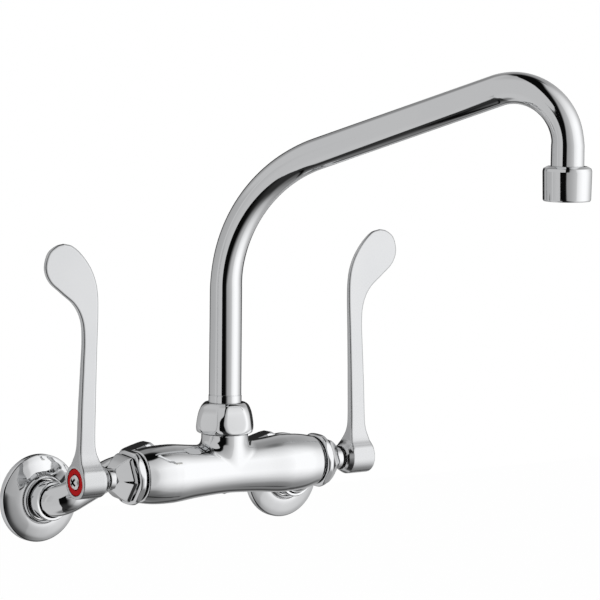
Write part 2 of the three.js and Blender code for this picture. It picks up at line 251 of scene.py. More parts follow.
def swept_rows(path, radii, sides):
    """Rings of those radii square to a path, with no twist along it."""
    tangents = directions(path)
    across = np.cross(tangents[0], [0.3, 0.1, 0.95])
    angle = angles(sides)[:, None]
    rows = []
    for point, tangent, radius in zip(path, tangents, radii):
        across = across - tangent * (across @ tangent)
        across /= np.linalg.norm(across)
        up = np.cross(tangent, across)
        rows.append(point + radius * (np.cos(angle) * across + np.sin(angle) * up))
    return np.array(rows)


def field_slope(field, points, nudge=0.02):
    """The field's unit direction of growth at each point."""
    slope = np.stack([field(points + nudge * unit) - field(points - nudge * unit)
                      for unit in np.eye(3)], -1)
    return slope / np.maximum(np.linalg.norm(slope, axis=1), 1e-9)[:, None]


def values_near(field, axes, cell):
    """The field over a grid: exact near the surface, and from every fourth point elsewhere."""
    skip = 4

    def grid(parts):
        return np.stack(np.meshgrid(*parts, indexing="ij"), -1).reshape(-1, 3)

    sparse = [axis[::skip] for axis in axes]
    rough = field(grid(sparse)).reshape([len(axis) for axis in sparse])
    nearest = [np.minimum(np.rint(np.arange(len(axis)) / skip).astype(int), len(part) - 1)
               for axis, part in zip(axes, sparse)]
    values = rough[np.ix_(*nearest)]
    close = np.abs(values) < skip * cell * 1.3
    values[close] = field(grid(axes)[close.ravel()])
    return values


def cast(name, field, low, high, cell):
    """The closed surface where a field is nought: one point for each crossed cell of a grid."""
    axes = [np.arange(a - 1.5 * cell, b + 2.5 * cell, cell) for a, b in zip(low, high)]
    shape = [len(axis) for axis in axes]
    inside = values_near(field, axes, cell) < 0
    eighths = [inside[i:shape[0] - 1 + i, j:shape[1] - 1 + j, k:shape[2] - 1 + k]
               for i in (0, 1) for j in (0, 1) for k in (0, 1)]
    crossed = np.logical_or.reduce(eighths) & ~np.logical_and.reduce(eighths)
    number = np.full(crossed.shape, -1)
    number[crossed] = np.arange(crossed.sum())
    points = (np.argwhere(crossed) + 0.5) * cell + [axis[0] for axis in axes]
    unit = np.eye(3, dtype=int)
    quads = []
    for axis in range(3):
        across, up = unit[(axis + 1) % 3], unit[(axis + 2) % 3]
        near = np.take(inside, range(shape[axis] - 1), axis)
        far = np.take(inside, range(1, shape[axis]), axis)
        edge = np.argwhere(near != far)
        outward = near[tuple(edge.T)]
        ring = (edge - across - up, edge - up, edge, edge - across)
        quad = np.stack([number[tuple(cell_index.T)] for cell_index in ring], 1)
        quads += [quad[outward], quad[~outward][:, ::-1]]
    for _ in range(2):  # each point slides down the field's slope to the surface
        slope = field_slope(field, points)
        for _ in range(2):
            points = points - np.clip(field(points)[:, None] * slope, -cell, cell)
    mesh = new_mesh(name, (points * MM).tolist(), np.concatenate(quads).tolist())
    mesh.shade_smooth()
    mesh.normals_split_custom_set_from_vertices(field_slope(field, points).tolist())
    return new_object(name, mesh)


def plain_mesh(made):
    """The object's evaluated shape as its own mesh, with its modifiers removed."""
    evaluated = made.evaluated_get(bpy.context.evaluated_depsgraph_get())
    mesh = bpy.data.meshes.new_from_object(evaluated)
    mesh.name = made.name
    made.modifiers.clear()
    made.data = mesh
    return mesh


def cut_by(made, tools):
    """Cuts the tools' shapes out of an object and deletes the tools."""
    for tool in tools:
        cutter = made.modifiers.new("cut", "BOOLEAN")
        cutter.operation = "DIFFERENCE"
        cutter.solver = "EXACT"
        cutter.object = tool
    tidy(plain_mesh(made))
    for tool in tools:
        bpy.data.objects.remove(tool)


# ---- materials ----
class Wire:
    """A socket in an expression: each operator adds its Math node."""

    def __init__(self, sheet, socket):
        self.sheet, self.socket = sheet, socket

    def math(self, operation, *others):
        return self.sheet.math(operation, self, *others)

    __add__ = __radd__ = lambda self, other: self.math("ADD", other)
    __mul__ = __rmul__ = lambda self, other: self.math("MULTIPLY", other)
    __sub__ = lambda self, other: self.math("SUBTRACT", other)
    __rsub__ = lambda self, other: self.sheet.math("SUBTRACT", other, self)
    __truediv__ = lambda self, other: self.math("DIVIDE", other)

    def rising(self, low, high):
        """0 below low, 1 above high and smooth between, where low may be the larger."""
        ends = (low, high, 0.0, 1.0) if low < high else (high, low, 1.0, 0.0)
        sockets = dict(zip(("From Min", "From Max", "To Min", "To Max"), ends), Value=self)
        return self.sheet.add("MapRange", sockets, interpolation_type="SMOOTHSTEP")[0]


class Sheet:
    """The node tree of one material."""

    def __init__(self, name):
        self.material = bpy.data.materials.new(name)
        self.material.use_nodes = True
        self.tree = self.material.node_tree
        self.tree.nodes.clear()

    def add(self, kind, sockets=None, **settings):
        """A shader node with its sockets and settings filled; gives its outputs as wires."""
        node = self.tree.nodes.new("ShaderNode" + kind)
        for key, value in settings.items():
            if key == "stops":
                self.fill_ramp(node.color_ramp, value)
            else:
                setattr(node, key, value)
        for key, value in (sockets or {}).items():
            if isinstance(value, Wire):
                self.tree.links.new(value.socket, node.inputs[key])
            else:
                node.inputs[key].default_value = value
        return [Wire(self, out) for out in node.outputs]

    def fill_ramp(self, ramp, stops):
        """Sets a colour ramp to greys at (place, value) stops."""
        ramp.elements.remove(ramp.elements[-1])
        ramp.elements[0].position, ramp.elements[0].color = stops[0][0], grey(stops[0][1])
        for place, value in stops[1:]:
            ramp.elements.new(place).color = grey(value)

    def math(self, operation, *operands):
        return self.add("Math", dict(enumerate(operands)), operation=operation)[0]

    def place(self):
        """Object coordinates, in metres."""
        return self.add("TexCoord")[3]

    def noise(self, size, detail=2.0, vector=None):
        """Soft random values, from about 0 to 1, whose patches are about size metres across."""
        sockets = {"Vector": vector or self.place(), "Scale": 1 / size, "Detail": detail}
        return self.add("TexNoise", sockets)[0]

    def blend(self, share, first, second):
        """The first colour where share is 0 and the second where it is 1."""
        return self.add("Mix", {0: share, 6: first, 7: second}, data_type="RGBA")[2]

    def surface(self, colour, roughness, relief, depth, metallic=1.0, shine=0.5):
        """The material as one Principled surface, whose fine relief is depth metres high."""
        normal = self.add("Bump", {"Strength": 1.0, "Distance": depth, "Height": relief})[0]
        return self.ended(self.add("BsdfPrincipled", {
            "Base Color": colour, "Roughness": roughness, "Normal": normal,
            "Metallic": metallic, "Specular IOR Level": shine,
        })[0])

    def ended(self, shader):
        """The material, with that shader on its surface."""
        self.add("OutputMaterial", {"Surface": shader})
        return self.material


def grey(value):
    return (value, value, value, 1.0)


CREVICE_REACH = 0.005
# the dark grey painted into the chrome's colour as shade in seams and recesses
PAINTED_CREVICE_SHADE = (0.05, 0.05, 0.052, 1)
PLATE = (0.90, 0.905, 0.91, 1), (0.86, 0.87, 0.88, 1)
BLADE_PLATE = (0.73, 0.735, 0.74, 1), (0.67, 0.68, 0.69, 1)
BRASS = (0.60, 0.42, 0.17, 1), (0.46, 0.30, 0.11, 1)
STEEL = grey(0.93), grey(0.86)
SCREW_STEEL = grey(0.95), grey(0.88)
# near black painted into the screw's cross recess as shade
PAINTED_RECESS_SHADE = (0.015, 0.015, 0.016, 1)
CERAMIC = (0.88, 0.86, 0.82, 1), (0.82, 0.80, 0.76, 1)
NYLON = (0.78, 0.77, 0.72, 1), (0.70, 0.69, 0.64, 1)
RUBBER = (0.012, 0.012, 0.013, 1), (0.022, 0.022, 0.023, 1)
RED = (0.36, 0.0, 0.001, 1), (0.31, 0.0, 0.001, 1)
BLUE = (0.01, 0.07, 0.42, 1), (0.008, 0.055, 0.34, 1)


def painted_crevice_shade(sheet):
    """How far a point lies in a seam or behind a lip, by ambient occlusion: where the chrome's
    colour is darkened with painted shade.
    """
    nearby = sheet.add("AmbientOcclusion", {"Distance": CREVICE_REACH}, samples=8)
    return nearby[1].rising(0.62, 0.28)


def polished_chrome():
    """Bright plate: faint grey drift, water marks in the gloss, a trace of polishing waves and
    painted shade in its seams.
    """
    sheet = Sheet("polished_chrome")
    marks = sheet.noise(0.014, 4.0).rising(0.5, 0.72)
    waves = sheet.noise(0.006, 1.0)
    plate = sheet.blend(sheet.noise(0.05), *PLATE)
    # painted shade: the plate's colour darkens in seams and behind lips
    colour = sheet.blend(painted_crevice_shade(sheet), plate, PAINTED_CREVICE_SHADE)
    return sheet.surface(colour, 0.035 + marks * 0.035, relief=waves, depth=0.000006)


def cast_chrome():
    """The blades' plate over a casting: a little duller, with a fine grain left by the belt and
    painted shade in its seams.
    """
    sheet = Sheet("cast_chrome")
    stretched = sheet.add("Mapping", {0: sheet.place(), 3: (1.0, 1.0, 0.06)})[0]
    grain = sheet.noise(0.0007, 3.0, stretched)
    plate = sheet.blend(sheet.noise(0.03), *BLADE_PLATE)
    # painted shade: the plate's colour darkens in seams and behind lips
    colour = sheet.blend(painted_crevice_shade(sheet), plate, PAINTED_CREVICE_SHADE)
    return sheet.surface(colour, 0.11 + grain * 0.07, relief=grain, depth=0.000003)


def turned_metal(name, shades, gloss):
    """Lathe-turned metal: fine uneven lines and a slightly stained colour."""
    sheet = Sheet(name)
    stain = sheet.noise(0.006, 3.0)
    lines = sheet.noise(0.0004, 2.0)
    colour = sheet.blend(stain, *shades)
    return sheet.surface(colour, gloss + lines * 0.15, relief=lines, depth=0.00001)


def screw_steel():
    """Turned steel whose cross recess, below the domed face of the head, is darkened with painted
    shade.
    """
    sheet = Sheet("recessed_steel")
    lines = sheet.noise(0.0004, 2.0)
    x, y, z = sheet.add("SeparateXYZ", {0: sheet.place()})
    out = x.math("ABSOLUTE")
    aside = (y + 0.065).math("POWER", 2) + (z - 0.0182).math("POWER", 2)  # from the axis, squared
    below = (out - (SCREW_CROWN * MM - aside * 50)).rising(-0.0001, -0.0004)
    # painted shade, darkening the cross recess below the domed face
    recess_shade = below * aside.rising(0.0000128, 0.0000110) * out.rising(0.1005, 0.101)
    steel = sheet.blend(sheet.noise(0.006, 3.0), *SCREW_STEEL)
    colour = sheet.blend(recess_shade, steel, PAINTED_RECESS_SHADE)
    return sheet.surface(colour, 0.28 + lines * 0.12, relief=lines, depth=0.00001)


def moulded(name, shades, gloss, texture, shine=0.5):
    """Moulded plastic, rubber or fired ceramic: mottled colour, a skin texture and even gloss."""
    sheet = Sheet(name)
    skin_texture = sheet.noise(0.0008, 3.0)
    colour = sheet.blend(sheet.noise(0.004, 3.0), *shades)
    return sheet.surface(colour, gloss + skin_texture * 0.1, skin_texture, texture, 0.0, shine)


MATERIALS = {
    "chrome_plate": polished_chrome(),
    "blade_plate": cast_chrome(),
    "bare_brass": turned_metal("machined_brass", BRASS, 0.22),
    "stainless_screw": turned_metal("turned_steel", STEEL, 0.3),
    "screw_head": screw_steel(),
    "ceramic": moulded("lapped_ceramic", CERAMIC, 0.2, 0.000002),
    "nylon": moulded("natural_nylon", NYLON, 0.4, 0.00001),
    "seal_rubber": moulded("black_rubber", RUBBER, 0.6, 0.00002),
    "red_index": moulded("red_plastic", RED, 0.45, 0.000006, 0.05),
    "blue_index": moulded("blue_plastic", BLUE, 0.45, 0.000006, 0.05),
}


def dressed(made, body, node, slot="chrome_plate", material=None):
    """Gives a piece the material named, or its slot's, puts it on its body and hides its CAD node.
    """
    made.data.materials.clear()
    made.data.materials.append(MATERIALS[material or slot])
    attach(made, body)
    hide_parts(node)


def placed(made, offset, turn=0.0):
    """Turns the mesh about Z and moves it, in millimetres, leaving the object at the origin."""
    move = Matrix.Translation(Vector(np.asarray(offset, float) * MM))
    made.data.transform(move @ Matrix.Rotation(turn, 4, "Z"))
    return made


# ---- barrel ----
WAIST_R = 14.2
SHOULDER_R = 16.8
BARREL_END_R = 14.8
END_ROUNDING = 0.9
SPIGOT_R, SPIGOT_END = 12.2, 66  # the bonnets screw on here
NECK_R, NECK_SHOULDER = 13.5, 20.9
NECK_SPIGOT_R, NECK_TOP = 12.8, 27.0
NECK_FILLET = 5.5
NIPPLE_R, NIPPLE_END = 10.1, 22.4  # the end lies that far behind the barrel's axis
NIPPLE_FILLET = 1.5
GALLERY_RISE = 10.9


def barrel_radius():
    """Heights from the middle outwards and the barrel's radius at each, finely spaced."""
    half = smooth_through([
        (-20, WAIST_R + 0.9), (0, WAIST_R), (20, WAIST_R + 0.9), (36, SHOULDER_R - 0.15),
        (44, SHOULDER_R), (53, SHOULDER_R - 0.5), (BARREL_HALF, BARREL_END_R),
    ], 150)
    heights = np.arange(0, BARREL_HALF + 0.05, 0.1)
    mirrored = np.concatenate([-heights[:0:-1], heights])
    radii = np.interp(np.abs(mirrored), *half.T)
    reach = 45  # samples to each side that the profile is smoothed over
    window = np.hanning(2 * reach + 1)
    padded = np.pad(radii, reach, "reflect", reflect_type="odd")
    radii = np.convolve(padded, window / window.sum(), "valid")[len(heights) - 1:]
    return heights, np.minimum(radii, SHOULDER_R)


def barrel_field(points):
    """The casting: a waisted barrel, its neck and nipples, and the water ways inside it."""
    heights, radii = barrel_radius()
    slopes = np.gradient(radii, heights)
    x, y, z = (points - BARREL_AXIS).T
    around_x, around_z = np.hypot(y, z), np.hypot(x, y)
    out = np.abs(x)
    tilt = np.sqrt(1 + np.interp(out, heights, slopes) ** 2)
    made = (around_x - np.interp(out, heights, radii)) / tilt
    made = soft_max(made, out - BARREL_HALF, END_ROUNDING)
    neck = soft_max(around_z - NECK_R, z - NECK_SHOULDER, 0.8)
    neck = neck + 0.03 * np.maximum(6 - z, 0) ** 2  # so that the neck doesn't show below
    rise = np.clip((z - 4) / 8, 0, 1)
    made = soft_min(made, neck, NECK_FILLET * (0.25 + 0.75 * rise ** 2 * (3 - 2 * rise)))
    made = np.minimum(made, rod_distance(z, around_z, NECK_SPIGOT_R, 0, NECK_TOP))
    made = np.minimum(made, rod_distance(out, around_x, SPIGOT_R, 0, SPIGOT_END))
    for side in SIDES.values():
        around_y = np.hypot(x - side * NIPPLE_HALF_SPACING, z)
        made = soft_min(made, rod_distance(y, around_y, NIPPLE_R, 4, NIPPLE_END), NIPPLE_FILLET)
    hollows = [
        rod_distance(out, around_x, 10, -1, 27),  # mixing chamber
        rod_distance(out, around_x, 9.7, 46, 67),  # cartridge bores
        rod_distance(out, around_x, 7, 33, 47),  # inlet chambers
        rod_distance(z, around_z, 11.25, 8, 28),  # socket of the spout tube
        rod_distance(out, np.hypot(y, z - GALLERY_RISE), 2.5, 25, 58),  # galleries
        rod_distance(y, np.hypot(out - NIPPLE_HALF_SPACING, z), 5.5, 0, 30),  # inlets
    ]
    for hollow in hollows:
        made = np.maximum(made, -hollow)
    return made


def make_barrel():
    made = cast("barrel_casting", barrel_field, BARREL_AXIS - [67, 18, 18],
                BARREL_AXIS + [67, 24, 28], 0.8)
    dressed(made, "faucet", "faucet_body")


# ---- valves: heights run outwards along the barrel's axis ----
def along_barrel(name, side, rows, sides=ROUND, closed=False):
    """A form of (radius, height) rows turned about the barrel's axis on one side."""
    rows = [(radius, side * height) for radius, height in rows]
    return skin(name, ring_rows(rows, "x", sides), closed)


BONNET_CORNER = math.radians(125)  # one corner of the hexagon, from +Y towards +Z
GROOVE_R = 12.4  # the groove between the collar and the dome


def make_bonnet(name, side):
    """Beaded hexagon collar, hexagon dome and the round lip that the stem comes out of."""
    rows = [(12.6, 62.8), (13.2, 62.8), (13.2, 63.4)]
    bead = smooth_through([(63.5, 13.3), (63.8, 14.9), (64.8, 15.9), (66.2, 16.0), (67.6, 15.5),
                           (68.2, 14.6)], 5)
    rows += [(hexagon(15.1, BONNET_CORNER, radius), height) for height, radius in bead]
    rows += [(GROOVE_R, 68.3), (GROOVE_R, 69.3)]
    dome = [(69.4, 12.75), (69.8, 12.9), *smooth_through(
        [(70.2, 12.8), (71.8, 12.1), (75.2, 9.75), (78.2, 6.8)], 7)]
    rows += [(hexagon(apothem, BONNET_CORNER, apothem * 1.135, 0.25), height)
             for height, apothem in dome]
    lip = eased([(6.4, 78.5), (6.3, 81.8), (5.5, 81.8), (5.5, 67.6), (12.1, 67.6), (12.1, 62.8)],
                0.4, closed=False)
    made = along_barrel(f"{name}_bonnet_cap", side, rows + lip, FINE, closed=True)
    dressed(placed(made, BARREL_AXIS), "faucet", f"{name}_bonnet")


STEM_BORE_R = 4.15
STEM_BORE_END = 97.3
SCREW_HOLE_R = 2.4
RING_RECESS_R = 7.8
RECESS_FLOOR = 101.2
BLADE_EDGE = 1.6
HUB_FILLET = 1.5
BLADE_OUTER = [  # the blade seen from the front, up its outer edge
    (101.9, 11), (100.9, 17), (100.4, 24), (99.8, 42), (98.7, 64), (98, 80), (99.2, 91),
    (104, 99.8), (112.5, 106.8), (120.2, 113.4), (123.2, 121), (121.1, 129.2), (116, 133.2),
    (110.8, 134.4),
]
BLADE_INNER = [  # and down its inner edge
    (110.8, 134.4), (104.6, 132.8), (98.3, 127.6), (92.7, 120.2), (89.3, 112.4), (87.9, 104),
    (87.8, 93), (88.3, 80), (89, 60), (89.5, 42), (89.9, 24), (89.4, 16), (87.6, 9.5),
]
BLADE_HALF_THICKNESS = [  # half its thickness at each height
    (4, -4), (7.6, 0), (8.25, 5.2), (7, 7.6), (5.4, 10), (3.9, 13.2), (2.8, 17), (2.3, 24),
    (1.95, 55), (1.5, 95), (1.25, 125), (1.2, 136),
]


def blade_field():
    """The cold side's blade, measured outwards from the middle of the barrel."""
    outer = smooth_through(BLADE_OUTER, 7)
    inner = smooth_through(BLADE_INNER, 7)
    front = np.array([(88, -4), (HUB_FACE - 0.6, -4), *outer, *inner[1:]])
    half = smooth_through(BLADE_HALF_THICKNESS, 6)
    end_on = np.array([*half, *(half[::-1] * [-1, 1])])
    cup = smooth_through([(83.3, 6.7), (84.4, 6.5), (86.2, 5.6), (87.8, STEM_BORE_R)], 6)
    cup = np.array([(82, 0), (82, 6.8), *cup, (88, 0)])
    hub = eased([(83.3, 0), (83.3, 7.1), (84.6, 8.2), (87.2, HUB_R - 0.1), (89, HUB_R),
                 (HUB_FACE, HUB_R), (HUB_FACE, 0)], 0.9, closed=False)

    def field(points):
        x, y, z = points.T
        lever = soft_max(outline_distance(x, z, front), outline_distance(y, z, end_on), BLADE_EDGE)
        around = np.hypot(y, z)
        made = soft_min(lever, turned_distance(x, around, hub), HUB_FILLET)
        hollows = [turned_distance(x, around, cup),
                   rod_distance(x, around, STEM_BORE_R, 82, STEM_BORE_END),
                   rod_distance(x, around, SCREW_HOLE_R, 97, 101.5),
                   rod_distance(x, around, RING_RECESS_R, RECESS_FLOOR, 104)]
        for hollow in hollows:
            made = np.maximum(made, -hollow)
        return made

    return field


def make_blades():
    """Both wrist blades: the hot one is the cold one turned half round the spout's axis."""
    low, high = (82.5, -10.5, -10.5), (124.5, 10.5, 135.5)
    cold = cast("cold_wrist_blade", blade_field(), low, high, 0.55)
    hot = new_object("hot_wrist_blade", cold.data.copy())
    hot.data.name = "hot_wrist_blade"
    for name, made, turn in (("cold", cold, 0.0), ("hot", hot, math.pi)):
        placed(made, BARREL_AXIS, turn)
        dressed(made, f"{name}_lever", f"{name}_handle", material="blade_plate")


def make_marker_ring(name, side):
    """The coloured ring round the screw, red for hot and blue for cold."""
    profile = eased([(4.6, 101.45), (7.55, 101.45), (7.55, 102.3), (4.6, 102.3)], 0.3)
    made = along_barrel(f"{name}_marker_ring", side, profile, closed=True)
    slot = "red_index" if name == "hot" else "blue_index"
    dressed(placed(made, BARREL_AXIS), f"{name}_lever", f"{name}_index_ring", slot)


def make_screw(name, side):
    """Domed screw with a cross recess, its shank running into the stem."""
    profile = eased([(0, 89.6), (1.9, 89.6), (1.9, 101.4), (4.2, 101.4), (4.2, 102.5),
                     (3.4, 103.4), (1.8, 103.9), (0, SCREW_CROWN)], 0.3, closed=False)
    made = along_barrel(f"{name}_blade_screw", side, profile, 64)
    cut_by(made, [tapered_slot(side, math.radians(turn)) for turn in (40, 130)])
    dressed(placed(made, BARREL_AXIS), f"{name}_lever", f"{name}_handle_screw", "stainless_screw",
            "screw_head")


def tapered_slot(side, turn):
    """A cutter for one arm of the cross recess, which narrows into the screw's head."""
    width, length = 1.5, 6.4
    rows = []
    for depth, share in ((104.5, 1.0), (101.2, 0.5)):
        a, b = width / 2 * share ** 0.4, length / 2 * share
        corners = [(-a, -b), (a, -b), (a, b), (-a, b)]
        rows.append([(side * depth, p * math.cos(turn) - q * math.sin(turn),
                      p * math.sin(turn) + q * math.cos(turn)) for p, q in corners])
    return skin("screw_slot", rows)


def make_spindle(name, side):
    """The valve's stem: driving tongue, collar and a splined end in the blade's bore."""
    sides, teeth = 96, 16
    spline = 3.72 + 0.1 * np.cos(teeth * angles(sides))
    rows = [(0, 53.3), (5.4, 53.3), (5.4, 56.6), (3.8, 56.8), (3.8, 60.5), (3.8, 84)]
    rows += [(spline, 84.5), (spline, 96.6), (3.3, 97), (2.15, 97), (2.15, 88), (0, 88)]
    made = along_barrel(f"{name}_valve_spindle", side, rows, sides)
    dressed(placed(made, BARREL_AXIS), f"{name}_lever", f"{name}_cartridge_stem", "stainless_screw")


# ---- spout ----
SPOUT_NUT_CORNER = math.radians(229)  # one corner of the hexagon, from +X towards +Y
SPOUT_NUT_LOW, SPOUT_NUT_TOP = 21.2, 38.5
SPOUT_NUT_SIDES = 168


def make_spout_nut():
    """Domed hexagon nut that holds the riser down on the neck."""
    flats = smooth_through([(SPOUT_NUT_LOW, 15.9), (24, 16.1), (28, 15.7), (32.6, 14.9), (36, 13.7),
                            (37.6, 12.7), (SPOUT_NUT_TOP, 11.6)], 8)
    limit = smooth_through([(SPOUT_NUT_LOW, 15.4), (22.0, 16.4), (24.2, 17.2), (28, 17.1),
                            (32.6, 16.1), (36, 14.6), (37.6, 13.2), (SPOUT_NUT_TOP, 11.8)], 8)
    rows = []
    for height in np.linspace(SPOUT_NUT_LOW, SPOUT_NUT_TOP, 60):
        apothem, most = np.interp(height, *flats.T), np.interp(height, *limit.T)
        rows.append((hexagon(apothem, SPOUT_NUT_CORNER, most, sides=SPOUT_NUT_SIDES), height))
    inside = eased([(11.6, SPOUT_NUT_TOP), (10.1, SPOUT_NUT_TOP), (10.1, 30.9), (13.3, 30.9),
                    (13.3, SPOUT_NUT_LOW)], 0.5, closed=False)
    rows += inside[1:]
    made = skin("spout_collar_nut", ring_rows(rows, "z", SPOUT_NUT_SIDES), closed=True)
    dressed(placed(made, BARREL_AXIS), "faucet", "spout_nut")


def geometry_tree(name, inputs, kinds):
    """A tree with named inputs that ends in a finish, and its nodes by their short names."""
    tree = bpy.data.node_groups.new(name, "GeometryNodeTree")
    sockets = [("Geometry", "INPUT", "Geometry"), ("Finish", "INPUT", "Material"),
               ("Geometry", "OUTPUT", "Geometry")]
    sockets[1:1] = [(label, "INPUT", kind) for label, kind in inputs.items()]
    for label, way, kind in sockets:
        tree.interface.new_socket(label, in_out=way, socket_type="NodeSocket" + kind)
    kinds["finish"] = "SetMaterial"
    nodes = {key: tree.nodes.new("GeometryNode" + kind) for key, kind in kinds.items()}
    nodes.update(start=tree.nodes.new("NodeGroupInput"), end=tree.nodes.new("NodeGroupOutput"))
    link_nodes(tree, nodes, ["start.Finish > finish.Material", "finish.Geometry > end.Geometry"])
    return tree, nodes


def link_nodes(tree, nodes, links):
    """Joins sockets, each pair written as "node.Output > node.Input"."""
    for link in links:
        (source, out), (target, into) = (end.split(".") for end in link.split(" > "))
        tree.links.new(nodes[source].outputs[out], nodes[target].inputs[into])


def set_inputs(modifier, values):
    """Fills a Geometry Nodes modifier's inputs by their names."""
    for item in modifier.node_group.interface.items_tree:
        if item.item_type == "SOCKET" and item.in_out == "INPUT" and item.name in values:
            modifier[item.identifier] = values[item.name]


TUBE_SIDES = 96
TUBE_LOW = 13.5
GROOVE_HEIGHT = 43.1
GROOVE_STEPS = (-1.0, -0.35, -0.15, 0.15, 0.35, 1.0)
GROOVE_CUT = (2, 3)  # which of those steps are cut
GROOVE_DEPTH = 0.03
BEND_FLATTENING = 0.07


def pipe_tree():
    """A round tube along a path of edges."""
    tree, nodes = geometry_tree(
        "tube_along_path", {"Tube Radius": "Float", "Tube Sides": "Int"},
        {"path": "MeshToCurve", "section": "CurvePrimitiveCircle", "tube": "CurveToMesh",
         "whole": "RealizeInstances"},
    )
    link_nodes(tree, nodes, [
        "start.Geometry > path.Mesh", "start.Tube Radius > section.Radius",
        "start.Tube Sides > section.Resolution", "path.Curve > tube.Curve",
        "section.Curve > tube.Profile Curve", "tube.Mesh > whole.Geometry",
        "whole.Geometry > finish.Geometry",
    ])
    return tree


def make_spout():
    """The bent tube: swept along its path, flattened in its bends and given a wall."""
    rise = RISER_CORNER + SPOUT_REACH * math.tan(SPOUT_SLOPE)
    stations = bent_path(
        [(0, 0, TUBE_LOW), (0, 0, RISER_CORNER), (0, -SPOUT_REACH, rise),
         (0, -SPOUT_REACH, OUTLET_LOW + 11.8)],
        [RISER_BEND_R, OUTLET_BEND_R], math.radians(2),
    )
    groove = [(0, 0, GROOVE_HEIGHT + step) for step in GROOVE_STEPS]
    stations = np.array([stations[0], *groove, *stations[1:]])
    edges = [(i, i + 1) for i in range(len(stations) - 1)]
    line = new_mesh("swing_spout", (stations * MM).tolist(), (), edges)
    made = new_object("swing_spout", line)
    tube = made.modifiers.new("tube", "NODES")
    tube.node_group = pipe_tree()
    set_inputs(tube, {"Tube Radius": TUBE_R * MM, "Tube Sides": TUBE_SIDES,
                      "Finish": MATERIALS["chrome_plate"]})
    swept = plain_mesh(made)
    press_bends(swept, stations)
    outside(swept)
    wall = made.modifiers.new("wall", "SOLIDIFY")
    wall.thickness = TUBE_WALL * MM
    wall.offset = -1
    tidy(plain_mesh(made))
    placed(made, BARREL_AXIS, SPOUT_SWING)
    dressed(made, "spout", "spout_tube")


def press_bends(mesh, stations):
    """Flattens the tube a little where it was bent, and turns the fine groove above the nut."""
    points = np.empty(len(mesh.vertices) * 3)
    mesh.vertices.foreach_get("co", points)
    rings = points.reshape(len(stations), -1, 3) / MM
    tangents = directions(stations)
    bending = np.linalg.norm(np.gradient(tangents, axis=0), axis=1)
    window = np.hanning(13)  # so that the flattening comes and goes gently
    bending = np.convolve(bending, window / window.sum(), "same")
    squeeze = BEND_FLATTENING * np.clip(bending / bending.max(), 0, 1)
    grooved = np.isin(np.arange(len(stations)), [1 + i for i in GROOVE_CUT])
    for ring, station, tangent, flat, cut in zip(rings, stations, tangents, squeeze, grooved):
        spread = ring - station
        inward = np.array([0, -tangent[2], tangent[1]])
        spread -= flat * np.outer(spread @ inward, inward)
        ring[:] = station + spread * (1 - GROOVE_DEPTH * cut)
    mesh.vertices.foreach_set("co", (rings * MM).ravel().astype(np.float32))


def outside(mesh):
    """Turns the open tube's faces outwards, judged at its foot, which stands on the origin."""
    work = bmesh.new()
    work.from_mesh(mesh)
    bmesh.ops.recalc_face_normals(work, faces=work.faces)
    lowest = min(work.faces, key=lambda f: f.calc_center_median().z)
    if lowest.normal.dot(Vector((*lowest.calc_center_median().xy, 0))) < 0:
        bmesh.ops.reverse_faces(work, faces=work.faces)
    work.to_mesh(mesh)
    work.free()


def outlet_place():
    """The middle of the outlet's face."""
    return BARREL_AXIS + [SPOUT_REACH * math.sin(SPOUT_SWING),
                          -SPOUT_REACH * math.cos(SPOUT_SWING), OUTLET_LOW]


def make_outlet_sleeve():
    """The plain round sleeve that holds the spray insert."""
    profile = eased([
        (11.7, 12), (11.7, 0), (12.7, 0), (13.35, 0.8), (13.68, 16.6), (13.2, 18.2), (10.9, 19.35),
        (9.9, 19.35), (9.9, 12),
    ], 0.6)
    made = skin("outlet_sleeve", ring_rows(profile, "z"), closed=True)
    dressed(placed(made, outlet_place()), "spout", "aerator_housing")


def spray_tree():
    """A plate cut by rings of round holes."""
    tree, nodes = geometry_tree(
        "holes_in_rings",
        {"Hole Radius": "Float", "Inner Ring": "Float", "Inner Holes": "Int",
         "Outer Ring": "Float", "Outer Holes": "Int", "Hole Depth": "Float"},
        {"hole": "MeshCylinder", "joined": "JoinGeometry",
         "Inner circle": "MeshCircle", "Inner holes": "InstanceOnPoints",
         "Outer circle": "MeshCircle", "Outer holes": "InstanceOnPoints",
         "real": "RealizeInstances", "cut": "MeshBoolean"},
    )
    nodes["hole"].inputs["Vertices"].default_value = 20
    nodes["cut"].operation = "DIFFERENCE"
    link_nodes(tree, nodes, ["start.Hole Radius > hole.Radius", "start.Hole Depth > hole.Depth"])
    for ring in ("Inner", "Outer"):
        link_nodes(tree, nodes, [
            f"start.{ring} Ring > {ring} circle.Radius",
            f"start.{ring} Holes > {ring} circle.Vertices",
            f"{ring} circle.Mesh > {ring} holes.Points", f"hole.Mesh > {ring} holes.Instance",
            f"{ring} holes.Instances > joined.Geometry",
        ])
    link_nodes(tree, nodes, [
        "hole.Mesh > joined.Geometry", "joined.Geometry > real.Geometry",
        "start.Geometry > cut.Mesh 1", "real.Geometry > cut.Mesh 2", "cut.Mesh > finish.Geometry",
    ])
    return tree


def make_spray_insert():
    """The plastic insert in the outlet, with its rings of spray holes."""
    profile = eased([(0, 2.8), (8.8, 2.8), (9.5, 1.2), (11.3, 1.2), (11.3, 9.2), (0, 9.2)], 0.3,
                    closed=False)
    made = skin("outlet_spray_insert", ring_rows(profile, "z", 96))
    holes = made.modifiers.new("spray_holes", "NODES")
    holes.node_group = spray_tree()
    set_inputs(holes, {
        "Hole Radius": 0.75 * MM, "Inner Ring": 3.2 * MM, "Inner Holes": 7, "Outer Ring": 6.4 * MM,
        "Outer Holes": 14, "Hole Depth": 24 * MM, "Finish": MATERIALS["nylon"],
    })
    tidy(plain_mesh(made))
    dressed(placed(made, outlet_place()), "spout", "aerator_insert", "nylon")


